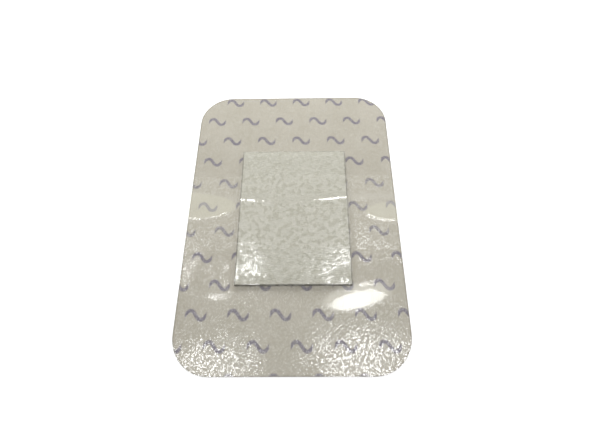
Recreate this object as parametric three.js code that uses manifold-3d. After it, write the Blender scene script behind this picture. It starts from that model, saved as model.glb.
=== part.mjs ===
// Transparent film dressing with an absorbent pad, lying flat with its wound side up.
// Millimetres, +Z up. The origin is on the table, under the middle of the dressing, and +Y is its length.
// From the table up: printed carrier film, adhesive film, absorbent pad, and a clear release liner in two
// halves that overlap across the middle and drape over the pad.

import * as THREE from 'three';
import { mergeVertices } from 'three/addons/utils/BufferGeometryUtils.js';
import Module from 'manifold-3d';

// The die-cut outline that the films share
const dressingWidth = 50;
const dressingLength = 72;
const cornerRadius = 8.3;
const arcSteps = 6;

// Films, one on the other
const carrierThickness = 0.1;
const adhesiveFilmThickness = 0.06;
const linerThickness = 0.08;

// Absorbent pad, glued to the adhesive film a little right of its middle
const padWidth = 26;
const padLength = 35;
const padThickness = 1;
const padCornerRadius = 0.5;
const padPlaceX = 0.3;

// How the liner lies: air left under it, and how far it takes to come down from the pad to the film
const linerAirGap = 0.02;
const tentWidth = 1.3;
const tentSteps = 4;

// Free edges of the two liner halves, as places along the length, and the run down over a hidden edge
const farHalfEdge = -9.3;
const nearHalfEdge = 10.5;
const edgeRun = 0.6;

// Fold mark across both halves
const creasePlace = 3.2;
const creaseHeight = 0.16;
const creaseHalfWidth = 0.9;

// Air pockets where the fold mark meets the left and right side edges
const leftPocket = { place: 2.7, halfWidth: 3.9, reach: 10.4, height: 0.5 };
const rightPocket = { place: 0.5, halfWidth: 2.7, reach: 8, height: 0.4 };

// Longest cell of a draped liner where it is plain, and where it swells into a pocket
const plainCell = 6;
const pocketCell = 1.4;

// Repeated wave mark printed under the carrier, in rows that are staggered by half a pitch
const markLength = 4.6;
const markRise = 0.95;
const markStroke = 0.55;
const markDepth = 0.04;
const markSteps = 8;
const markPitch = 9.1;
const rowPitch = 6.47;
const firstMarkX = -2.4;
const firstRowY = 2.1;

const halfWidth = dressingWidth / 2;
const halfLength = dressingLength / 2;
const halfPadWidth = padWidth / 2;
const halfPadLength = padLength / 2;
const filmTop = carrierThickness + adhesiveFilmThickness;

// A rectangle with round corners, centred on the origin
function roundedRectangle(width, length, radius) {
  const x = width / 2 - radius;
  const y = length / 2 - radius;
  const outline = new THREE.Shape();
  outline.absarc(x, y, radius, 0, Math.PI / 2);
  outline.absarc(-x, y, radius, Math.PI / 2, Math.PI);
  outline.absarc(-x, -y, radius, Math.PI, Math.PI * 1.5);
  outline.absarc(x, -y, radius, Math.PI * 1.5, Math.PI * 2);
  return outline;
}

function slab(outline, thickness) {
  return new THREE.ExtrudeGeometry(outline, {
    depth: thickness,
    bevelEnabled: false,
    curveSegments: arcSteps,
  });
}

// One period of a sine wave, drawn with a stroke: its two edges lie half a stroke from the middle line
function waveMark(centreX, centreY) {
  const farEdge = [];
  const nearEdge = [];
  for (let step = 0; step <= markSteps; step += 1) {
    const share = step / markSteps;
    const angle = Math.PI * 2 * share;
    const x = centreX + markLength * (share - 0.5);
    const y = centreY + markRise * Math.sin(angle);
    const slope = ((markRise * Math.PI * 2) / markLength) * Math.cos(angle);
    const side = new THREE.Vector2(-slope, 1).setLength(markStroke / 2);
    farEdge.push(new THREE.Vector2(x + side.x, y + side.y));
    nearEdge.unshift(new THREE.Vector2(x - side.x, y - side.y));
  }
  return new THREE.Shape([...farEdge, ...nearEdge]);
}

// Whether a place, with a margin round it, is inside the round-cornered outline
function insideOutline(x, y, margin) {
  const beyondX = Math.max(Math.abs(x) - (halfWidth - cornerRadius), 0);
  const beyondY = Math.max(Math.abs(y) - (halfLength - cornerRadius), 0);
  return Math.hypot(beyondX, beyondY) < cornerRadius + margin;
}

function waveMarks() {
  const marks = [];
  const rows = Math.ceil(halfLength / rowPitch) + 1;
  const columns = Math.ceil(halfWidth / markPitch) + 1;
  for (let row = -rows; row <= rows; row += 1) {
    const stagger = row % 2 === 0 ? 0 : markPitch / 2;
    for (let column = -columns; column <= columns; column += 1) {
      const x = firstMarkX + stagger + column * markPitch;
      const y = firstRowY + row * rowPitch;
      if (insideOutline(x, y, markLength / 4)) {
        marks.push(waveMark(x, y));
      }
    }
  }
  return marks;
}

// The carrier: a thin slab whose underside carries the wave marks as a shallow sunk print
async function printedCarrier() {
  const wasm = await Module();
  wasm.setup();
  const toSolid = (geometry) => {
    geometry.deleteAttribute('normal');
    geometry.deleteAttribute('uv');
    const merged = mergeVertices(geometry);
    return new wasm.Manifold(
      new wasm.Mesh({
        numProp: 3,
        vertProperties: merged.attributes.position.array,
        triVerts: new Uint32Array(merged.index.array),
      }),
    );
  };
  const outline = roundedRectangle(dressingWidth, dressingLength, cornerRadius);
  const marks = slab(waveMarks(), markDepth * 2).translate(0, 0, -markDepth);
  const carved = toSolid(slab(outline, carrierThickness)).subtract(toSolid(marks)).getMesh();
  const geometry = new THREE.BufferGeometry();
  geometry.setAttribute('position', new THREE.BufferAttribute(carved.vertProperties, 3));
  geometry.setIndex(new THREE.BufferAttribute(carved.triVerts, 1));
  return geometry;
}

// 1 at the start of a run, 0 at its end, level at both
function easeDown(share) {
  const held = THREE.MathUtils.clamp(share, 0, 1);
  return 1 - held * held * (3 - 2 * held);
}

// How high the pad lifts the liner: all of its thickness on the pad, and easing down round it
function padLift(x, y) {
  const beyondX = Math.abs(x - padPlaceX) - halfPadWidth;
  const beyond = Math.max(beyondX, Math.abs(y) - halfPadLength, 0);
  return padThickness * easeDown(beyond / tentWidth);
}

function creaseLift(y) {
  return creaseHeight * easeDown(Math.abs(y - creasePlace) / creaseHalfWidth);
}

// A pocket is half of an oval dome that the side edge cuts through its highest point
function pocketLift(pocket, distanceIn, y) {
  const along = distanceIn / pocket.reach;
  const across = (y - pocket.place) / pocket.halfWidth;
  return pocket.height * easeDown(Math.hypot(along, across));
}

// Height of the lower face of a liner that lies straight on the film and the pad
function linerFloor(x, y) {
  const pockets = pocketLift(leftPocket, halfWidth + x, y) + pocketLift(rightPocket, halfWidth - x, y);
  return linerAirGap + padLift(x, y) + Math.max(pockets, creaseLift(y));
}

// The far half lies on the near half as far as that one's free edge, and then comes down beyond it
function farHalfFloor(x, y) {
  const rise = linerThickness + linerAirGap;
  return linerFloor(x, y) + rise * easeDown((y - nearHalfEdge) / edgeRun);
}

// Places from the lowest to the highest of the marks, with no step longer than the cell
function placesThrough(marks, cell) {
  const sorted = [...marks].sort((a, b) => a - b);
  const places = [sorted[0]];
  for (const next of sorted.slice(1)) {
    const start = places[places.length - 1];
    const steps = Math.ceil((next - start) / cell - 1e-6);
    for (let step = 1; step <= steps; step += 1) {
      places.push(start + ((next - start) * step) / steps);
    }
  }
  return places;
}

function evenSteps(start, end, steps) {
  return Array.from({ length: steps + 1 }, (_, step) => start + ((end - start) * step) / steps);
}

// Half of the outline's width at a place along the length
function outlineHalfWidth(y) {
  const beyond = Math.max(Math.abs(y) - (halfLength - cornerRadius), 0);
  const arc = Math.sqrt(Math.max(cornerRadius ** 2 - beyond ** 2, 0));
  return halfWidth - cornerRadius + arc;
}

// Columns of a liner's cells, from the left side edge to the right one
function linerColumns() {
  const tent = evenSteps(halfPadWidth, halfPadWidth + tentWidth, tentSteps);
  const left = placesThrough([-halfWidth, leftPocket.reach - halfWidth], pocketCell);
  const right = placesThrough([halfWidth - rightPocket.reach, halfWidth], pocketCell);
  const tents = [...tent, ...tent.map((x) => -x)].map((x) => padPlaceX + x);
  return placesThrough([...left, ...tents, ...right], plainCell);
}

// Rows of a liner's cells, between its round end and its free edge
function linerRows(lowest, highest) {
  const tent = evenSteps(halfPadLength, halfPadLength + tentWidth, tentSteps);
  const crease = evenSteps(creasePlace - creaseHalfWidth, creasePlace + creaseHalfWidth, 4);
  const pockets = [leftPocket, rightPocket].flatMap((pocket) =>
    [-1, 0, 1].map((side) => pocket.place + side * pocket.halfWidth),
  );
  const arc = evenSteps(0, Math.PI / 2, arcSteps).map(
    (angle) => halfLength - cornerRadius + cornerRadius * Math.sin(angle),
  );
  const hiddenEdge = evenSteps(nearHalfEdge, nearHalfEdge + edgeRun, 2);
  const fine = placesThrough([...pockets, ...crease], pocketCell);
  const marks = [farHalfEdge, ...hiddenEdge, ...fine, ...tent, ...tent.map((y) => -y)];
  const rows = [...marks, ...arc, ...arc.map((y) => -y)];
  const inside = rows.filter((y) => y > lowest && y < highest);
  return placesThrough([lowest, ...inside, highest], plainCell);
}

// A thin sheet on a grid of cells. Both faces use one height function and split each cell the same way,
// and a strip of wall joins them all round.
function drapedSheet(columns, rows, floorAt, thickness) {
  const across = columns.length;
  const layer = across * rows.length;
  const positions = [];
  for (const lift of [0, thickness]) {
    for (const y of rows) {
      const squeeze = outlineHalfWidth(y) / halfWidth;
      for (const column of columns) {
        const x = column * squeeze;
        positions.push(x, y, floorAt(x, y) + lift);
      }
    }
  }
  const triangles = [];
  const quad = (a, b, c, d) => triangles.push(a, b, c, a, c, d);
  for (let row = 0; row < rows.length - 1; row += 1) {
    for (let column = 0; column < across - 1; column += 1) {
      const a = row * across + column;
      const b = a + 1;
      const c = b + across;
      const d = a + across;
      triangles.push(a, c, b, a, d, c);
      quad(a + layer, b + layer, c + layer, d + layer);
    }
  }
  const wall = (a, b) => quad(a, b, b + layer, a + layer);
  const lastRow = (rows.length - 1) * across;
  for (let column = 0; column < across - 1; column += 1) {
    wall(column, column + 1);
    wall(lastRow + column + 1, lastRow + column);
  }
  for (let start = 0; start < lastRow; start += across) {
    wall(start + across, start);
    wall(start + across - 1, start + 2 * across - 1);
  }
  const geometry = new THREE.BufferGeometry();
  geometry.setAttribute('position', new THREE.Float32BufferAttribute(positions, 3));
  geometry.setIndex(triangles);
  return geometry;
}

const group = new THREE.Group();

function addPiece(name, geometry, height, look) {
  geometry.computeVertexNormals();
  const piece = new THREE.Mesh(geometry, new THREE.MeshStandardMaterial({ metalness: 0, ...look }));
  piece.name = name;
  piece.position.z = height;
  group.add(piece);
}

const filmOutline = roundedRectangle(dressingWidth, dressingLength, cornerRadius);
const padOutline = roundedRectangle(padWidth, padLength, padCornerRadius);
const carrierLook = { color: 0xc6bfb1, roughness: 0.55, transparent: true, opacity: 0.9 };
const filmLook = { color: 0xe9e4da, roughness: 0.4, transparent: true, opacity: 0.35 };
const padLook = { color: 0xd3d0c2, roughness: 0.85 };
const linerLook = { color: 0xf0eee6, roughness: 0.15, transparent: true, opacity: 0.3 };
const nearHalf = drapedSheet(
  linerColumns(),
  linerRows(-halfLength, nearHalfEdge),
  linerFloor,
  linerThickness,
);
const farHalf = drapedSheet(
  linerColumns(),
  linerRows(farHalfEdge, halfLength),
  farHalfFloor,
  linerThickness,
);

addPiece('carrier_film', await printedCarrier(), 0, carrierLook);
addPiece('adhesive_film', slab(filmOutline, adhesiveFilmThickness), carrierThickness, filmLook);
addPiece('absorbent_pad', slab(padOutline, padThickness).translate(padPlaceX, 0, 0), filmTop, padLook);
addPiece('release_liner_near', nearHalf, filmTop, linerLook);
addPiece('release_liner_far', farHalf, filmTop, linerLook);

export default group;
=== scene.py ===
# %% [markdown]
# # A transparent film dressing, lying with its wound side up
# A small wound dressing is a stack of thin sheets. A printed carrier film lies on the table, the clear
# adhesive film lies on it, a flat absorbent pad is glued to the middle, and two halves of a clear release
# liner cover it all. Each sheet could be a flat plane with a picture on it, but then nothing would catch the
# light as thin plastic does. So every sheet here has its real thickness and drapes over what is under it.

# %% The frame
import math

import bpy
import numpy as np
from mathutils import Matrix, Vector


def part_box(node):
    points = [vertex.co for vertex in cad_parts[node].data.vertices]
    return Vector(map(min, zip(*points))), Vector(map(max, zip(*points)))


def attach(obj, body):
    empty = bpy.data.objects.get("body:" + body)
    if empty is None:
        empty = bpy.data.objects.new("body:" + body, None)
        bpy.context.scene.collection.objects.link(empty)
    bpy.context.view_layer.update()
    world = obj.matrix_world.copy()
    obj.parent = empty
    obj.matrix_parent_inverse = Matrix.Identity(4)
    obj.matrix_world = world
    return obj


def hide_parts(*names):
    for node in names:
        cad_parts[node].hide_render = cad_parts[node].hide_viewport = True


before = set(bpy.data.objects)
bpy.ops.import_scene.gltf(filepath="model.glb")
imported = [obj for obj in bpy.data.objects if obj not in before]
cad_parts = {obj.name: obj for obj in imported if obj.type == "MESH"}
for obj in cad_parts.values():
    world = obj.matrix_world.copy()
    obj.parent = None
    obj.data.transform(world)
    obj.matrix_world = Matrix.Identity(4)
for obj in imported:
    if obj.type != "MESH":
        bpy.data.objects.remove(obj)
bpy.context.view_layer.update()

MM = 0.001

# %% [markdown]
# ## Sizes
# The solid model already holds the real sizes, so the script reads them from its boxes. The shape functions
# below work in millimetres, which keeps numbers readable for something as thin as a film, and a mesh is
# turned into metres at the very end.

# %% Sizes from the solid model, in millimetres
def box_mm(node):
    low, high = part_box(node)
    return np.array(low) / MM, np.array(high) / MM


HALF_WIDTH, HALF_LENGTH, CARRIER_TOP = box_mm("carrier_film")[1]
CORNER_RADIUS = 8.3
FILM_TOP = box_mm("adhesive_film")[1][2]

pad_low, pad_high = box_mm("absorbent_pad")
PAD_MIDDLE = (pad_low[:2] + pad_high[:2]) / 2
PAD_HALF = (pad_high[:2] - pad_low[:2]) / 2
PAD_TOP = pad_high[2]

near_low, near_high = box_mm("release_liner_near")
NEAR_EDGE = near_high[1]
FAR_EDGE = box_mm("release_liner_far")[0][1]
LINER_THICKNESS = 0.08
AIR_GAP = near_low[2] - FILM_TOP
print(f"films {2 * HALF_WIDTH:.1f} x {2 * HALF_LENGTH:.1f}, pad {2 * PAD_HALF}, air {AIR_GAP:.3f}")

# %% [markdown]
# ## Heights as functions
# The liner is easiest to think of as a height over the table at each place. The pad lifts it, a fold mark
# runs across it, air pockets open where the fold mark meets the side edges, and the whole sheet has the
# slight unevenness of plastic that was rolled up. Simulating cloth would lose those marks, and sculpting
# them would tie them to one mesh, so each one is a small function that is added to the others.

# %% Easing, hills and soft random waves
WAVE_COUNT = 28
SHORTEST_WAVE = 0.7
LONGEST_WAVE = 1.35
WAVE_STRENGTH = 0.7


def ease_down(share):
    """1 at and before 0, 0 at and past 1, and level at both ends: 1 - s * s * (3 - 2 s)."""
    held = np.clip(share, 0, 1)
    return 1 - held * held * (3 - 2 * held)


def ripples(x, y, wavelength, seed):
    """A smooth random surface, mostly between -1 and 1: a sum of sine waves that run in random directions,
    each with its own phase and a length near the given one, over the square root of how many they are."""
    draw = np.random.default_rng(seed)
    directions = draw.uniform(0, 2 * np.pi, WAVE_COUNT)
    phases = draw.uniform(0, 2 * np.pi, WAVE_COUNT)
    lengths = wavelength * draw.uniform(SHORTEST_WAVE, LONGEST_WAVE, WAVE_COUNT)
    total = np.zeros(np.shape(x))
    for direction, phase, length in zip(directions, phases, lengths):
        along = x * np.cos(direction) + y * np.sin(direction)
        total += np.sin(2 * np.pi * along / length + phase)
    return total / np.sqrt(WAVE_COUNT) * WAVE_STRENGTH


def hill(x, y, height, middle, half_size, turn=0.0, rim=1.0):
    """An oval hill of the given height, which eases to 0 over its rim. The rim is a share of the half size:
    1 gives a round top, and less leaves the middle level. The turn is in degrees."""
    angle = math.radians(turn)
    dx, dy = x - middle[0], y - middle[1]
    along = dx * math.cos(angle) + dy * math.sin(angle)
    across = dy * math.cos(angle) - dx * math.sin(angle)
    distance = np.hypot(along / half_size[0], across / half_size[1])
    return height * ease_down((distance - 1 + rim) / rim)


# %% The top of the pad
PRESSED_CORNERS = ((-12.7, -18), (13.3, -18))
CORNER_DROP = 0.12
CORNER_SIZE = (8.5, 11)
EDGE_DROP = 0.10
EDGE_WIDTH = 2.0
PAD_GRAIN = 0.007
GRAIN_ROOM = 0.03


def pad_inset(x, y):
    """How far a place is inside the pad's nearest edge, and negative outside the pad."""
    return np.minimum(PAD_HALF[0] - np.abs(x - PAD_MIDDLE[0]), PAD_HALF[1] - np.abs(y - PAD_MIDDLE[1]))


def pad_surface(x, y):
    """Height of the pad's face: level in the middle, easing down near the two near corners, where the die
    pressed it thinner, with the small unevenness of pressed fibre."""
    corners = sum(hill(x, y, CORNER_DROP, middle, CORNER_SIZE) for middle in PRESSED_CORNERS)
    edges = EDGE_DROP * ease_down(pad_inset(x, y) / EDGE_WIDTH)
    grain = PAD_GRAIN * (ripples(x, y, wavelength=1.6, seed=3) + ripples(x, y, wavelength=5.0, seed=4))
    return PAD_TOP - GRAIN_ROOM - corners - edges + np.minimum(grain, GRAIN_ROOM)


# %% The underside of the liner
PAD_GAP = 0.02
DRAPE_WIDTH = 1.2

# Air pockets where the fold mark meets the side edges, each a level half oval with a crown on it
LEFT_POCKET = dict(height=0.13, middle=(-HALF_WIDTH, 2.4), half_size=(11.8, 3.6), turn=-2, rim=0.09)
LEFT_CROWN = dict(height=0.1, middle=(-26, 2.9), half_size=(8, 3.6))
RIGHT_POCKET = dict(height=0.12, middle=(HALF_WIDTH, 0.5), half_size=(8.2, 2.7), rim=0.14)
RIGHT_CROWN = dict(height=0.08, middle=(26, 0.7), half_size=(7, 2.6))

# The ridge beside the pad's right near corner, with the folds along it, and the blister beside the left one
RIDGE = dict(height=0.38, middle=(15.0, -17.7), half_size=(13.4, 5.4), turn=13)
RIDGE_FOLDS = dict(height=0.02, middle=(16.0, -15.6), half_size=(9.5, 3.4), turn=8)
FOLD_PITCH = 1.3
FOLD_SLANT = 0.15
FOLD_SWAY = 0.5
BLISTER = dict(height=0.17, middle=(-16.2, -16.9), half_size=(6.0, 4.2), rim=0.56)
BLISTER_TAIL = 2.6

# Where the liner counts as loose: from this rise at the pockets, and on the ridge's near side
LOOSE_FROM = 0.015
LOOSE_WITHIN = 0.09
LOOSE_ON_RIDGE = dict(height=1, middle=(14.2, -19.9), half_size=(8.4, 2.9), turn=11, rim=0.25)

# The fold mark across the middle: level between the two slants, and lower off the pad
CREASE_PLACE = 3.23
CREASE_SLANT = 0.11
LEFT_SLANT = (-13, -5)
RIGHT_SLANT = (1, 13)
CREASE_HEIGHT = 0.13
CREASE_HALF_WIDTH = 1.3
CREASE_OFF_PAD = 0.3
CREASE_FADE = 1.5

LONG_WAVES = 0.011
SHORT_WAVES = 0.004
STEP_WIDTH = 1.5


def pad_lift(x, y):
    """The liner's rise over the film at the pad: the pad's own height on it, easing down around it."""
    inside_x = np.clip(x, pad_low[0], pad_high[0])
    inside_y = np.clip(y, pad_low[1], pad_high[1])
    beyond = np.hypot(x - inside_x, y - inside_y)
    return (pad_surface(inside_x, inside_y) + PAD_GAP - FILM_TOP) * ease_down(beyond / DRAPE_WIDTH)


def side_pockets(x, y):
    """The sum of the two pockets and their crowns."""
    return sum(hill(x, y, **shape) for shape in (LEFT_POCKET, LEFT_CROWN, RIGHT_POCKET, RIGHT_CROWN))


def corner_tents(x, y):
    """Where the liner stays off the film beside the pad's near corners: the ridge plus a sine across it for
    its folds, and the blister, which is stretched on its far side so that it fades out there."""
    sway = FOLD_SWAY * ripples(x, y, wavelength=6.0, seed=21)
    folds = np.sin(2 * np.pi * (y - FOLD_SLANT * x + sway) / FOLD_PITCH)
    right = hill(x, y, **RIDGE) + folds * hill(x, y, **RIDGE_FOLDS)
    middle_y = BLISTER["middle"][1]
    stretch = np.where(y > middle_y, BLISTER_TAIL, 1.0)
    return right + hill(x, middle_y + (y - middle_y) / stretch, **BLISTER)


def lifted(x, y):
    """How far air holds the liner off the adhesive film."""
    return side_pockets(x, y) + corner_tents(x, y)


def crease(x, y):
    """The fold mark across the middle: a low ridge from side to side, which slants up towards both sides
    and is flatter beside the pad, where the adhesive holds the liner down."""
    right_run = np.clip(x, *RIGHT_SLANT) - RIGHT_SLANT[0]
    left_run = LEFT_SLANT[1] - np.clip(x, *LEFT_SLANT)
    line = CREASE_PLACE + CREASE_SLANT * (right_run + left_run)
    firm = CREASE_OFF_PAD + (1 - CREASE_OFF_PAD) * ease_down(-pad_inset(x, y) / CREASE_FADE)
    return CREASE_HEIGHT * firm * ease_down(np.abs(y - line) / CREASE_HALF_WIDTH)


def looseness(x, y):
    """0 where the liner sticks to the adhesive and 1 where air lifts it clear."""
    pockets = 1 - ease_down((side_pockets(x, y) - LOOSE_FROM) / LOOSE_WITHIN)
    return np.maximum(pockets, hill(x, y, **LOOSE_ON_RIDGE))


def liner_floor(x, y):
    """Height of the liner's lower face over the table, where it lies straight on the film and the pad."""
    long_waves = LONG_WAVES * (1 + ripples(x, y, wavelength=7.0, seed=11))
    short_waves = SHORT_WAVES * (1 + ripples(x, y, wavelength=2.2, seed=12))
    raised = pad_lift(x, y) + np.maximum(lifted(x, y), crease(x, y))
    return FILM_TOP + AIR_GAP + raised + np.maximum(long_waves + short_waves, 0)


def far_floor(x, y):
    """The far half lies on the near half up to that one's edge, and eases down beyond it."""
    rise = LINER_THICKNESS + AIR_GAP
    return liner_floor(x, y) + rise * ease_down((y - NEAR_EDGE) / STEP_WIDTH)


x, y = np.meshgrid(np.linspace(pad_low[0], pad_high[0], 50), np.linspace(FAR_EDGE, NEAR_EDGE, 50))
print("highest liner face in mm:", round(float(far_floor(x, y).max()) + LINER_THICKNESS, 3))

# %% [markdown]
# ## A thin closed sheet from a height function
# A film has two faces and a rim. A plane with a Solidify modifier would do, but here the two faces are
# computed: a grid of places is squeezed to follow the round corners, one face takes the lower height, the
# other the upper one, and a strip of faces closes the rim. The mesh is then watertight by construction.

# %% Grid, mesh and sheet helpers
ARC_ROWS = 27
SHARP_ANGLE = 50


def half_width_at(y):
    """Half of the outline's width: the straight part, plus the arc's height where a corner rounds it."""
    beyond = np.maximum(np.abs(y) - (HALF_LENGTH - CORNER_RADIUS), 0)
    return HALF_WIDTH - CORNER_RADIUS + np.sqrt(np.maximum(CORNER_RADIUS**2 - beyond**2, 0))


def rows_between(low, high, cell):
    """Rows along the length, even in the straight part and even in angle round the corners."""
    straight = HALF_LENGTH - CORNER_RADIUS
    angles = np.linspace(0, np.pi / 2, ARC_ROWS + 1)[1:]
    arc = straight + CORNER_RADIUS * np.sin(angles)
    inner_low, inner_high = max(low, -straight), min(high, straight)
    rows = np.linspace(inner_low, inner_high, int(round((inner_high - inner_low) / cell)) + 1)
    below = -arc[::-1] if low < -straight else []
    above = arc if high > straight else []
    return np.concatenate([below, rows, above])


def outline_grid(low, high, cell):
    """x and y of a grid that fills the outline between two places along its length."""
    y = rows_between(low, high, cell)
    share = np.linspace(-1, 1, int(round(2 * HALF_WIDTH / cell)) + 1)
    return share[None, :] * half_width_at(y)[:, None], np.repeat(y[:, None], len(share), 1)


def closed_sheet(name, x, y, low, high):
    """A closed mesh between two heights over one grid. Both faces split their cells alike, and the border
    of the lower face is joined to the border of the upper one."""
    rows, columns = x.shape
    count = rows * columns
    points = np.concatenate([np.stack([x, y, z], -1).reshape(-1, 3) for z in (low, high)]) * MM
    index = np.arange(count).reshape(rows, columns)
    cells = np.stack([index[:-1, :-1], index[:-1, 1:], index[1:, 1:], index[1:, :-1]], -1).reshape(-1, 4)
    border = np.concatenate([index[0, :-1], index[:-1, -1], index[-1, :0:-1], index[:0:-1, 0]])
    after = np.roll(border, -1)
    rim = np.stack([border, after, after + count, border + count], -1)
    quads = np.concatenate([cells[:, ::-1], cells + count, rim])
    mesh = bpy.data.meshes.new(name)
    mesh.from_pydata(points, [], quads)
    mesh.shade_smooth()
    mesh.set_sharp_from_angle(angle=math.radians(SHARP_ANGLE))
    piece = bpy.data.objects.new(name, mesh)
    bpy.context.scene.collection.objects.link(piece)
    print(f"{name}: {len(points)} points, {2 * len(quads)} triangles")
    return piece


def store(piece, name, low, high):
    """Keeps one number for each point of the lower and the upper face, for a material to read."""
    numbers = piece.data.attributes.new(name, "FLOAT", "POINT")
    numbers.data.foreach_set("value", np.concatenate([low.ravel(), high.ravel()]).astype(np.float32))


def let_light_through(piece):
    """A film this clear casts no shadow to speak of, so light on its way to the sheets below passes it."""
    piece.visible_shadow = False
    piece.visible_diffuse = False


# %% [markdown]
# ## Node helpers
# The finishes below are built from shader nodes in code. Short helpers keep that readable: one makes a node
# and fills its sockets, with a value or with another node's output, and the others use it for arithmetic,
# mixing, easing and noise. The patterns are laid out in millimetres in the object's own coordinates, so that
# they stay put on it.

# %% Node helpers
def new_material(name):
    material = bpy.data.materials.new(name)
    material.use_nodes = True
    material.node_tree.nodes.clear()
    return material


def node(tree, kind, sockets=None, **settings):
    made = tree.nodes.new("ShaderNode" + kind)
    for name, value in settings.items():
        setattr(made, name, value)
    for name, value in (sockets or {}).items():
        if isinstance(value, bpy.types.NodeSocket):
            tree.links.new(value, made.inputs[name])
        else:
            made.inputs[name].default_value = value
    return made


def calc(tree, operation, *values):
    return node(tree, "Math", dict(enumerate(values)), operation=operation).outputs[0]


def blend(tree, amount, first, second):
    """Mixes two colours by an amount from 0 to 1."""
    sockets = {0: amount, 6: first, 7: second}
    return node(tree, "Mix", sockets, data_type="RGBA").outputs[2]


def between(tree, amount, first, second):
    """Mixes two numbers by an amount from 0 to 1."""
    return node(tree, "Mix", {0: amount, 2: first, 3: second}).outputs[0]


def ramp(tree, value, start, end, low=0.0, high=1.0):
    """Eases from low to high while the value goes from start to end."""
    sockets = {"Value": value, "From Min": start, "From Max": end, "To Min": low, "To Max": high}
    return node(tree, "MapRange", sockets, interpolation_type="SMOOTHSTEP").outputs[0]


def place_mm(tree):
    coordinates = node(tree, "TexCoord").outputs["Object"]
    return node(tree, "VectorMath", {0: coordinates, "Scale": 1 / MM}, operation="SCALE").outputs[0]


def noise(tree, place, size, detail=2.0, roughness=0.5):
    """Cloudy noise from 0 to 1, whose lumps are about the given size in millimetres."""
    sockets = {"Vector": place, "Scale": 1 / size, "Detail": detail, "Roughness": roughness}
    return node(tree, "TexNoise", sockets).outputs[0]


def rgb(red, green, blue):
    """A colour as a paint chart gives it, 0 to 255, turned into the linear numbers that light needs."""
    linear = [((c / 255 + 0.055) / 1.055) ** 2.4 for c in (red, green, blue)]
    return (*linear, 1.0)


def attribute(tree, name):
    return node(tree, "Attribute", attribute_name=name).outputs["Fac"]


def finish_material(material, shader):
    output = node(material.node_tree, "OutputMaterial")
    material.node_tree.links.new(shader.outputs[0], output.inputs["Surface"])
    return material


# %% [markdown]
# ## The carrier film and its print
# The carrier is a milky plastic film with a small mark printed all over it in staggered rows, so that it can
# be told from the clear film when it is peeled off. The mark here is a plain wave. It could be drawn as
# thin meshes on the film, but ink has no thickness to speak of, so it is worked out in the shader: each
# place finds its nearest mark, and the distance to that mark's middle line decides whether it is inked.

# %% The carrier's finish
MARK_LENGTH = 4.6
MARK_RISE = 0.95
MARK_STROKE = 0.8
MARK_PITCH = 9.1
ROW_PITCH = 6.47
FIRST_MARK = (-2.4, 2.1)
INK_EDGE = 0.2
CUT_SHADE_WIDTH = (0.4, 0.05)
CUT_SHADE = 0.7
CARRIER_GRAIN = 0.02

MILK = rgb(186, 181, 169)
MILK_CLOUD = rgb(180, 175, 162)
MILK_FLECK = rgb(201, 196, 185)
INK = rgb(116, 111, 126)
# A dark grey for painted shade along the cut rim of the stacked films.
RIM_SHADE_COLOUR = rgb(128, 124, 114)


def wave_print(tree, place):
    """1 on a wave mark's stroke and 0 off it. The row is the nearest multiple of the row pitch, odd rows
    are shifted by half a pitch, and the stroke is where the distance to the sine line is under half its
    width. That distance is the height over the line, divided by the root of 1 plus its slope squared."""
    parts = node(tree, "SeparateXYZ", {0: place}).outputs
    up = calc(tree, "SUBTRACT", parts["Y"], FIRST_MARK[1])
    row = calc(tree, "ROUND", calc(tree, "DIVIDE", up, ROW_PITCH))
    stagger = calc(tree, "MULTIPLY", calc(tree, "FLOORED_MODULO", row, 2.0), MARK_PITCH / 2)
    along = calc(tree, "SUBTRACT", calc(tree, "SUBTRACT", parts["X"], FIRST_MARK[0]), stagger)
    column = calc(tree, "ROUND", calc(tree, "DIVIDE", along, MARK_PITCH))
    local_x = calc(tree, "SUBTRACT", along, calc(tree, "MULTIPLY", column, MARK_PITCH))
    local_y = calc(tree, "SUBTRACT", up, calc(tree, "MULTIPLY", row, ROW_PITCH))
    turns = 2 * math.pi / MARK_LENGTH
    phase = calc(tree, "MULTIPLY", local_x, turns)
    rise = calc(tree, "MULTIPLY", calc(tree, "SINE", phase), MARK_RISE)
    slope = calc(tree, "MULTIPLY", calc(tree, "COSINE", phase), MARK_RISE * turns)
    apart = calc(tree, "ABSOLUTE", calc(tree, "ADD", local_y, rise))
    steep = calc(tree, "SQRT", calc(tree, "MULTIPLY_ADD", slope, slope, 1.0))
    distance = calc(tree, "DIVIDE", apart, steep)
    stroke = ramp(tree, distance, MARK_STROKE / 2 - INK_EDGE, MARK_STROKE / 2 + INK_EDGE, 1.0, 0.0)
    end = calc(tree, "ABSOLUTE", local_x)
    ends = ramp(tree, end, MARK_LENGTH / 2 - INK_EDGE, MARK_LENGTH / 2 + INK_EDGE, 1.0, 0.0)
    return calc(tree, "MULTIPLY", stroke, ends)


def outline_reach(tree, place):
    """The distance beyond the inner rectangle that the corner circles are centred on. It grows up to the
    corner radius at the outline, all round, and height doesn't count."""
    any_height = 100.0
    inner = (HALF_WIDTH - CORNER_RADIUS, HALF_LENGTH - CORNER_RADIUS, any_height)
    folded = node(tree, "VectorMath", {0: place}, operation="ABSOLUTE").outputs[0]
    beyond = node(tree, "VectorMath", {0: folded, 1: inner}, operation="SUBTRACT").outputs[0]
    beyond = node(tree, "VectorMath", {0: beyond, 1: (0, 0, 0)}, operation="MAXIMUM").outputs[0]
    return node(tree, "VectorMath", {0: beyond}, operation="LENGTH").outputs["Value"]


def painted_rim_shade(tree, place):
    """0 well inside the outline and 1 at its cut edge, where painted shade darkens the rim."""
    start, end = (CORNER_RADIUS - inset for inset in CUT_SHADE_WIDTH)
    return ramp(tree, outline_reach(tree, place), start, end)


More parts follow.
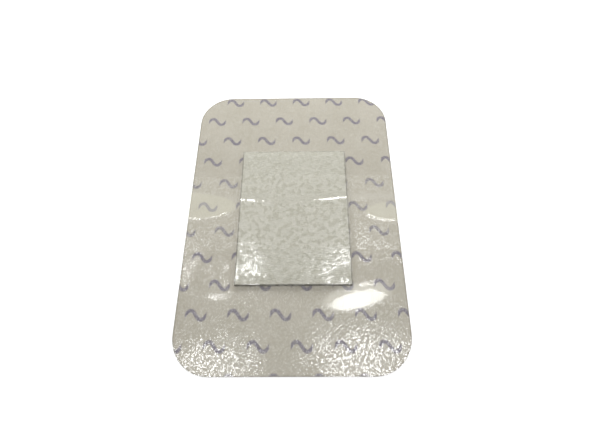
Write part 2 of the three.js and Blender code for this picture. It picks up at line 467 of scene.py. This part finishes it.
def carrier_finish():
    material = new_material("milky carrier film")
    tree = material.node_tree
    place = place_mm(tree)
    cloud = noise(tree, place, size=9.0, detail=3.0)
    fleck = noise(tree, place, size=0.5)
    milk = blend(tree, ramp(tree, cloud, 0.3, 0.7), MILK, MILK_CLOUD)
    milk = blend(tree, ramp(tree, fleck, 0.62, 0.75, high=0.35), milk, MILK_FLECK)
    worn = ramp(tree, fleck, 0.25, 0.55, low=0.7, high=0.95)
    colour = blend(tree, calc(tree, "MULTIPLY", wave_print(tree, place), worn), milk, INK)
    # Painted shade: the outline's rim is darkened as if light were trapped in the cut edges.
    colour = blend(tree, calc(tree, "MULTIPLY", painted_rim_shade(tree, place), CUT_SHADE), colour, RIM_SHADE_COLOUR)
    grain = noise(tree, place, size=0.6)
    bump = node(tree, "Bump", {"Height": grain, "Distance": CARRIER_GRAIN * MM, "Strength": 0.6})
    sockets = {"Base Color": colour, "Roughness": 0.5, "Specular IOR Level": 0.2, "Normal": bump.outputs[0]}
    return finish_material(material, node(tree, "BsdfPrincipled", sockets))


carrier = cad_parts["carrier_film"]
carrier.data.materials.clear()
carrier.data.materials.append(carrier_finish())

# %% [markdown]
# ## Clear films
# A clear film shows what is under it and adds only a little of its own: a mirror-like shine that grows at
# grazing angles, and a faint haze. Real refraction would throw a dark shadow under something this thin, so a
# clear surface is mixed with a glossy one by how much a smooth face reflects at that angle, and a trace of
# white scatter is the haze.
# The release liner is embossed where it sticks to the adhesive and smooth where air lifts it. Each point
# of its mesh knows how far it is lifted, and the finish reads that.

# %% The clear films' finishes
STRAIGHT_ON_SHINE = 0.045
GLANCE_POWER = 5.0
FILM_GRAIN = 0.01
FILM_TINT = (0.985, 0.982, 0.972, 1.0)
FILM_MILK = rgb(243, 241, 236)
LINER_TINT = (0.982, 0.98, 0.974, 1.0)
# Where air lifts the liner it is made clearer and hazier: painted lightening for the reflection at the air
# gap.
LOOSE_CLEARER_TINT = (1.0, 1.0, 0.985, 1.0)
LINER_MILK = rgb(243, 241, 228)

SPECK_SIZE = 0.44
EMBOSS_DEPTH = 0.014
FOLDED_SHINE = 0.75
LOOSE_SHINE = 0.36
SPECK_GLINT_HAZE = 0.03
OVERLAP_PAINTED_SHEEN = 0.02
LOOSE_PAINTED_LIGHTENING = 0.015


def clear_film(material, haze, roughness, height, depth, tint, flecks, milk):
    """Clear plastic whose faces shine only as far as they meet air, which each point's "air" says. A face
    seen straight on reflects a small share, and the rest is added by the fifth power of how far it turns
    away. The flecks weigh the shine from place to place, and haze is the share that the milk scatters."""
    tree = material.node_tree
    bump = node(tree, "Bump", {"Height": height, "Distance": depth * MM, "Strength": 1.0}).outputs[0]
    facing = node(tree, "LayerWeight", {"Blend": 0.5, "Normal": bump}).outputs["Facing"]
    glance = calc(tree, "POWER", facing, GLANCE_POWER)
    mirror = calc(tree, "MULTIPLY_ADD", glance, 1 - STRAIGHT_ON_SHINE, STRAIGHT_ON_SHINE)
    shine = calc(tree, "MULTIPLY", calc(tree, "MULTIPLY", mirror, attribute(tree, "air")), flecks)
    clear = node(tree, "BsdfTransparent", {"Color": tint})
    gloss = node(tree, "BsdfGlossy", {"Roughness": roughness, "Normal": bump, "Color": (1, 1, 1, 1)})
    scatter = node(tree, "BsdfDiffuse", {"Color": milk})
    film = node(tree, "MixShader", {0: haze, 1: clear.outputs[0], 2: scatter.outputs[0]})
    shining = node(tree, "MixShader", {0: shine, 1: film.outputs[0], 2: gloss.outputs[0]})
    return finish_material(material, shining)


def film_finish():
    material = new_material("clear adhesive film")
    tree = material.node_tree
    place = place_mm(tree)
    return clear_film(
        material,
        haze=ramp(tree, noise(tree, place, size=1.2, detail=3.0), 0.3, 0.7, low=0.01, high=0.04),
        roughness=0.25,
        height=noise(tree, place, size=0.8),
        depth=FILM_GRAIN,
        tint=FILM_TINT,
        flecks=1.0,
        milk=FILM_MILK,
    )


def liner_finish():
    """Small bright specks on the adhesive, larger patches on the pad, and an even shine where the liner is
    smooth or loose. The same flecks weigh the shine and, faintly, the haze, where they are painted glints
    over the real grain."""
    material = new_material("embossed release liner")
    tree = material.node_tree
    place = place_mm(tree)
    loose = attribute(tree, "loose")
    smooth = attribute(tree, "smooth")
    on_pad = attribute(tree, "on_pad")
    fine = noise(tree, place, size=0.42, detail=1.0)
    coarse = noise(tree, place, size=1.0)
    cells = node(tree, "TexVoronoi", {"Vector": place, "Scale": 1 / SPECK_SIZE, "Randomness": 1.0})
    off_pad = calc(tree, "MULTIPLY", fine, ramp(tree, on_pad, 0.0, 1.0, low=1.0, high=0.6))
    height = calc(tree, "ADD", off_pad, calc(tree, "MULTIPLY", coarse, on_pad))
    height = calc(tree, "MULTIPLY", height, ramp(tree, smooth, 0.0, 1.0, low=1.0, high=0.25))
    bright = ramp(tree, cells.outputs["Distance"], 0.12, 0.62, low=1.8, high=0.12)
    specks = calc(tree, "MULTIPLY", bright, ramp(tree, coarse, 0.36, 0.56, low=0.6, high=1.1))
    patches = ramp(tree, coarse, 0.42, 0.52, low=0.24, high=1.15)
    stuck = between(tree, on_pad, specks, patches)
    flecks = between(tree, loose, between(tree, smooth, stuck, FOLDED_SHINE), LOOSE_SHINE)
    # Painted lightening where the two halves overlap, for the reflection between the two layers.
    overlap_sheen = calc(tree, "MULTIPLY", attribute(tree, "overlap"), OVERLAP_PAINTED_SHEEN)
    # The specks also lighten the haze: painted glints that follow the shine, besides the liner's real grain.
    haze_and_glints = calc(tree, "MULTIPLY_ADD", flecks, SPECK_GLINT_HAZE, overlap_sheen)
    # Loose places get a clearer tint and more haze, painted lightening for the reflection at the air gap.
    return clear_film(
        material,
        haze=calc(tree, "ADD", haze_and_glints, ramp(tree, loose, 0.0, 1.0, high=LOOSE_PAINTED_LIGHTENING)),
        roughness=ramp(tree, smooth, 0.0, 1.0, low=0.13, high=0.08),
        height=height,
        depth=EMBOSS_DEPTH,
        tint=blend(tree, loose, LINER_TINT, LOOSE_CLEARER_TINT),
        flecks=flecks,
        milk=LINER_MILK,
    )


# %% [markdown]
# ## The adhesive film
# The dressing itself is the thinnest sheet of the stack, a clear film with adhesive on its upper side. The
# solid model lays it face to face on the carrier. Two surfaces in exactly one place confuse a renderer, so
# this sheet keeps the same outline and top, and stays a hair above the carrier.

# %% Adhesive film
HAIR = 0.006
FILM_CELL = 1.0

x, y = outline_grid(-HALF_LENGTH, HALF_LENGTH, FILM_CELL)
film_bottom = np.full_like(x, CARRIER_TOP + HAIR)
film = closed_sheet("film_with_adhesive", x, y, film_bottom, np.full_like(x, FILM_TOP))
film.data.materials.append(film_finish())
store(film, "air", np.zeros_like(x), looseness(x, y))
let_light_through(film)
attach(film, "root")
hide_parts("adhesive_film")

# %% [markdown]
# ## The absorbent pad
# The pad is pressed non-woven: a flat felt of short fibres with a soft cut edge. A box with a bump map
# would keep a hard rim, so the pad is a closed surface made like the sheets, with a face that sinks at the
# near corners and a rounded rim, and its fibres are in the finish.

# %% Pad surface
PAD_CELL = 0.25
PAD_RIM = 0.22
RIM_ROWS = 5
PAD_LIFT = 0.004
EDGE_SHADE_WIDTH = 0.45


def pad_grid():
    """x and y over the pad. The outermost cells are narrow, so that the rim can turn down within them."""
    def places(middle, half):
        inner = half - PAD_RIM
        core = np.linspace(-inner, inner, int(round(2 * inner / PAD_CELL)) + 1)
        turn = inner + PAD_RIM * np.sin(np.linspace(0, np.pi / 2, RIM_ROWS + 1)[1:])
        return middle + np.concatenate([-turn[::-1], core, turn])

    return np.meshgrid(places(PAD_MIDDLE[0], PAD_HALF[0]), places(PAD_MIDDLE[1], PAD_HALF[1]))


def rim_drop(inset):
    """How far the rim has turned down at a distance inside the edge: a quarter circle."""
    share = np.clip(1 - inset / PAD_RIM, 0, 1)
    return PAD_RIM * (1 - np.sqrt(1 - share**2))


x, y = pad_grid()
top = pad_surface(x, y) - rim_drop(pad_inset(x, y))
pad = closed_sheet("wound_pad", x, y, np.full_like(x, FILM_TOP + PAD_LIFT), top)
# Painted shade for the pad's rim: 1 on the underside and the sides, easing to 0 inside the edge.
store(pad, "shaded_edge", np.ones_like(x), ease_down(pad_inset(x, y) / EDGE_SHADE_WIDTH))


# %% Pad finish
FELT = rgb(184, 182, 168)
FELT_CLOUD = rgb(190, 188, 175)
FELT_GRAIN = rgb(170, 168, 154)
PALE_FIBRE = rgb(214, 213, 201)
PIT_SHADE = rgb(160, 158, 145)
# A dark grey for painted shade at the pad's rim and sides.
PAD_EDGE_SHADE = rgb(108, 106, 96)
FIBRE_STRETCH = (0.5, 1.6, 1.0)
FIBRE_TURNS = (0.9, -0.7)
FIBRE_WIDTH = 0.55
FIBRE_RELIEF = 0.07
GRAIN_SHADE = 0.42
FIBRE_SHADE = 0.42
PIT_SPACING = 0.9
PIT_DARKNESS = 0.3
EDGE_SHADE_DARKNESS = 0.8


def fibres(tree, place, turn):
    """Noise stretched into short strands that run at one angle."""
    sockets = {"Vector": place, "Rotation": (0, 0, turn), "Scale": FIBRE_STRETCH}
    return noise(tree, node(tree, "Mapping", sockets).outputs[0], FIBRE_WIDTH)


def pad_finish():
    """Short fibres in two directions over cloudy felt, with small pits, and painted shade darkening the rim
    and sides.
    """
    material = new_material("pressed pad fibre")
    tree = material.node_tree
    place = place_mm(tree)
    cloud = noise(tree, place, size=3.2, detail=4.0, roughness=0.6)
    grain = noise(tree, place, size=0.45, detail=3.0, roughness=0.6)
    fibre = calc(tree, "MAXIMUM", *(fibres(tree, place, turn) for turn in FIBRE_TURNS))
    pits = node(tree, "TexVoronoi", {"Vector": place, "Scale": 1 / PIT_SPACING, "Randomness": 0.8})
    colour = blend(tree, ramp(tree, cloud, 0.32, 0.68), FELT, FELT_CLOUD)
    colour = blend(tree, ramp(tree, grain, 0.4, 0.6, high=GRAIN_SHADE), colour, FELT_GRAIN)
    colour = blend(tree, ramp(tree, fibre, 0.55, 0.68, high=FIBRE_SHADE), colour, PALE_FIBRE)
    in_pit = ramp(tree, pits.outputs[0], 0.0, 0.22, low=PIT_DARKNESS, high=0.0)
    colour = blend(tree, in_pit, colour, PIT_SHADE)
    # Painted shade: the rim is darkened as if the cut edge stood in shadow.
    edge_shade = ramp(tree, attribute(tree, "shaded_edge"), 0.2, 1.0, high=EDGE_SHADE_DARKNESS)
    colour = blend(tree, edge_shade, colour, PAD_EDGE_SHADE)
    height = calc(tree, "ADD", fibre, calc(tree, "MULTIPLY", grain, 0.7))
    bump = node(tree, "Bump", {"Height": height, "Distance": FIBRE_RELIEF * MM, "Strength": 1.0})
    sockets = {
        "Base Color": colour,
        "Roughness": 0.85,
        "Specular IOR Level": 0.3,
        "Sheen Weight": 0.15,
        "Normal": bump.outputs[0],
    }
    return finish_material(material, node(tree, "BsdfPrincipled", sockets))


pad.data.materials.append(pad_finish())
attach(pad, "root")
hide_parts("absorbent_pad")

# %% [markdown]
# ## The release liner
# The liner comes in two halves so that it can be peeled off from the middle. The near half is under, and the
# far half overlaps it across the pad. Both use the same height function, so they nest with an even film of
# air between them, however the sheet waves.

# %% Both liner halves
LINER_CELL = 0.3
FADE = 0.3
SMOOTH_BY_BLISTER = dict(height=0.35, middle=(-16.0, -19.7), half_size=(6.5, 3.0))
SMOOTH_CREASE = 0.3
SHINE_OVER_PAD = 0.3
SHINE_LOST_ON_PAD = 0.8
liner_look = liner_finish()


def over_pad(x, y):
    """1 on the pad, fading to 0 beside it."""
    return ease_down(-pad_inset(x, y) / FADE)


def liner_half(name, low, high, floor, air_under, cad_node):
    """One half of the liner between two places along the length, with what its finish reads: where it is
    loose, smooth, on the pad or doubled by the other half, and how far its lower face meets air."""
    x, y = outline_grid(low, high, LINER_CELL)
    bottom = floor(x, y)
    piece = closed_sheet(name, x, y, bottom, bottom + LINER_THICKNESS)
    loose = looseness(x, y)
    on_pad = over_pad(x, y)
    folded = 1 - ease_down(crease(x, y) / CREASE_HEIGHT / SMOOTH_CREASE)
    smooth = np.maximum(np.maximum(loose, folded), hill(x, y, **SMOOTH_BY_BLISTER))
    overlap = ease_down((y - NEAR_EDGE) / FADE) * ease_down((FAR_EDGE - y) / FADE) * (1 - on_pad)
    for look, share in (("loose", loose), ("smooth", smooth), ("on_pad", on_pad), ("overlap", overlap)):
        store(piece, look, share, share)
    store(piece, "air", np.maximum(air_under(x, y), SHINE_OVER_PAD * on_pad), np.ones_like(x))
    let_light_through(piece)
    piece.data.materials.append(liner_look)
    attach(piece, "root")
    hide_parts(cad_node)


def air_under_far_half(x, y):
    """Nothing sticks the two halves together, so air stays between them where they overlap."""
    overlap = ease_down((y - NEAR_EDGE) / FADE) * (1 - SHINE_LOST_ON_PAD * over_pad(x, y))
    return np.maximum(looseness(x, y), overlap)


liner_half(
    "liner_near_half",
    low=-HALF_LENGTH,
    high=NEAR_EDGE,
    floor=liner_floor,
    air_under=looseness,
    cad_node="release_liner_near",
)
liner_half(
    "liner_far_half",
    low=FAR_EDGE,
    high=HALF_LENGTH,
    floor=far_floor,
    air_under=air_under_far_half,
    cad_node="release_liner_far",
)

# %% [markdown]
# ## Floor, light and camera
# The dressing lies on a plain white table in a room with ceiling lamps and a window behind. A thin glossy
# film shows the shape of each lamp, so each lamp here is placed by where its reflection is seen, and a large
# panel behind brings the soft daylight. A single broad lamp would light the sheet as well, but the film
# would look matt under it.

# %% Floor
FLOOR_DROP = 0.02
FLOOR_SIZE = 2400
FLOOR_WHITE = (0.86, 0.86, 0.86, 1.0)
GLOW_STARTS = 70.0
GLOW_FULL = 300.0
NEAR_GLOW = 0.42
FAR_GLOW = 0.85
OPENING_INSET = 0.3


def seen_straight(tree):
    """1 for a ray that shows its surface to the camera, straight or in a mirror, and 0 for stray light."""
    path = node(tree, "LightPath").outputs
    seen = calc(tree, "MAXIMUM", path["Is Camera Ray"], path["Is Glossy Ray"])
    return calc(tree, "MAXIMUM", seen, path["Is Transmission Ray"])


def floor_finish():
    """White, with a glow for the camera that grows away from the dressing, where the lamps no longer reach.
    It can be seen through from below, and is open where the dressing covers it, which lets light reach the
    dressing's underside."""
    material = new_material("white table")
    tree = material.node_tree
    far_off = node(tree, "VectorMath", {0: place_mm(tree)}, operation="LENGTH").outputs["Value"]
    rise = ramp(tree, far_off, GLOW_STARTS, GLOW_FULL, low=NEAR_GLOW, high=FAR_GLOW)
    glow = calc(tree, "MULTIPLY", seen_straight(tree), rise)
    glowing = node(tree, "Emission", {"Color": (1, 1, 1, 1), "Strength": glow})
    matt = node(tree, "BsdfDiffuse", {"Color": FLOOR_WHITE})
    white = node(tree, "AddShader", {0: glowing.outputs[0], 1: matt.outputs[0]})
    below = node(tree, "NewGeometry").outputs["Backfacing"]
    covered = calc(tree, "LESS_THAN", outline_reach(tree, place_mm(tree)), CORNER_RADIUS - OPENING_INSET)
    opening = calc(tree, "MAXIMUM", below, covered)
    gone = node(tree, "BsdfTransparent")
    open_table = node(tree, "MixShader", {0: opening, 1: white.outputs[0], 2: gone.outputs[0]})
    return finish_material(material, open_table)


bpy.ops.mesh.primitive_plane_add(size=FLOOR_SIZE * MM, location=(0, 0, -FLOOR_DROP * MM))
table = bpy.context.object
table.name = "table_top"
table.data.materials.append(floor_finish())
print(f"{table.name}: {FLOOR_SIZE} mm square, {FLOOR_DROP} mm under the carrier")

# %% Lights
CAMERA_PLACE = (2.94, -38.66, 81.43)
LAMP_HEIGHT = 400
DAYLIGHT = (0.965, 0.98, 1.0)


def panel(name, place, size, radiance, shape="RECTANGLE"):
    """A flat light that faces the dressing. Its power is the brightness times pi and both sides, so an oval
    one is a little brighter than a rectangle. The first side runs level, across the line to the dressing."""
    light = bpy.data.lights.new(name, "AREA")
    light.shape = shape
    light.size, light.size_y = (side * MM for side in size)
    light.energy = radiance * math.pi * light.size * light.size_y
    piece = bpy.data.objects.new(name, light)
    piece.location = [side * MM for side in place]
    tilt = math.atan2(math.hypot(place[0], place[1]), place[2])
    piece.rotation_euler = (tilt, 0, math.atan2(place[1], place[0]) + math.pi / 2)
    bpy.context.scene.collection.objects.link(piece)
    print(f"{name}: at {np.round(place)} mm, {light.energy:.3f} W")
    return piece


def ceiling_lamp(name, seen_at, spread, radiance):
    """An oval lamp placed by its reflection: a level film would show it at the place seen_at, as large as
    spread. Light meets the film and leaves it at the same angle, so the way on to the lamp is the way from
    the camera to that place, longer by the share of the two heights."""
    reach = 1 + LAMP_HEIGHT / CAMERA_PLACE[2]
    across = [CAMERA_PLACE[axis] + (seen_at[axis] - CAMERA_PLACE[axis]) * reach for axis in (0, 1)]
    size = [side * reach for side in spread]
    light = panel(name, (*across, LAMP_HEIGHT), size, radiance, shape="ELLIPSE")
    light.rotation_euler = (0, 0, 0)


ceiling_lamp("left_near_lamp", seen_at=(-16, -33.4), spread=(19, 7), radiance=11)
ceiling_lamp("left_near_core", seen_at=(-17.0, -35.2), spread=(15, 3.4), radiance=13)
ceiling_lamp("right_near_lamp", seen_at=(14.6, -32.5), spread=(22, 10), radiance=11)
ceiling_lamp("right_near_core", seen_at=(15.5, -34.6), spread=(14, 4.6), radiance=12)
ceiling_lamp("left_far_lamp", seen_at=(-11.3, -15.0), spread=(4.4, 6.6), radiance=17)
ceiling_lamp("right_far_lamp", seen_at=(9.7, -16.0), spread=(6.8, 3.8), radiance=17)
ceiling_lamp("left_side_lamp", seen_at=(-22.4, -13.8), spread=(4.4, 5), radiance=20)
ceiling_lamp("right_side_lamp", seen_at=(18.5, -15.5), spread=(11, 7), radiance=9)
ceiling_lamp("right_edge_lamp", seen_at=(15.2, -7.5), spread=(4, 13), radiance=1.5)

daylight = panel("soft_daylight", (0, 114, 70), (300, 70), radiance=3.2)
daylight.data.color = DAYLIGHT
daylight.visible_glossy = False

# %% Surroundings
AMBIENT = 0.2
SKY = (1.0, 0.995, 0.985, 1.0)

world = bpy.data.worlds.new("plain_studio")
bpy.context.scene.world = world
world.use_nodes = True
background = world.node_tree.nodes["Background"]
background.inputs["Color"].default_value = SKY
strength = ramp(world.node_tree, seen_straight(world.node_tree), 0.0, 1.0, low=AMBIENT)
world.node_tree.links.new(strength, background.inputs["Strength"])

# %% Camera
CAMERA_TILT = 24.92
CAMERA_YAW = 1.72
CAMERA_ROLL = -2.01
LENS = 22.5
CLIP_START = 5


def turned(degrees, axis):
    return Matrix.Rotation(math.radians(degrees), 4, axis)


camera_data = bpy.data.cameras.new("camera")
camera_data.lens = LENS
camera_data.clip_start = CLIP_START * MM
camera = bpy.data.objects.new("camera", camera_data)
bpy.context.scene.collection.objects.link(camera)
camera.matrix_world = turned(CAMERA_YAW, "Z") @ turned(CAMERA_TILT, "X") @ turned(CAMERA_ROLL, "Z")
camera.location = [side * MM for side in CAMERA_PLACE]
bpy.context.scene.camera = camera
bpy.context.scene.view_settings.view_transform = "Standard"
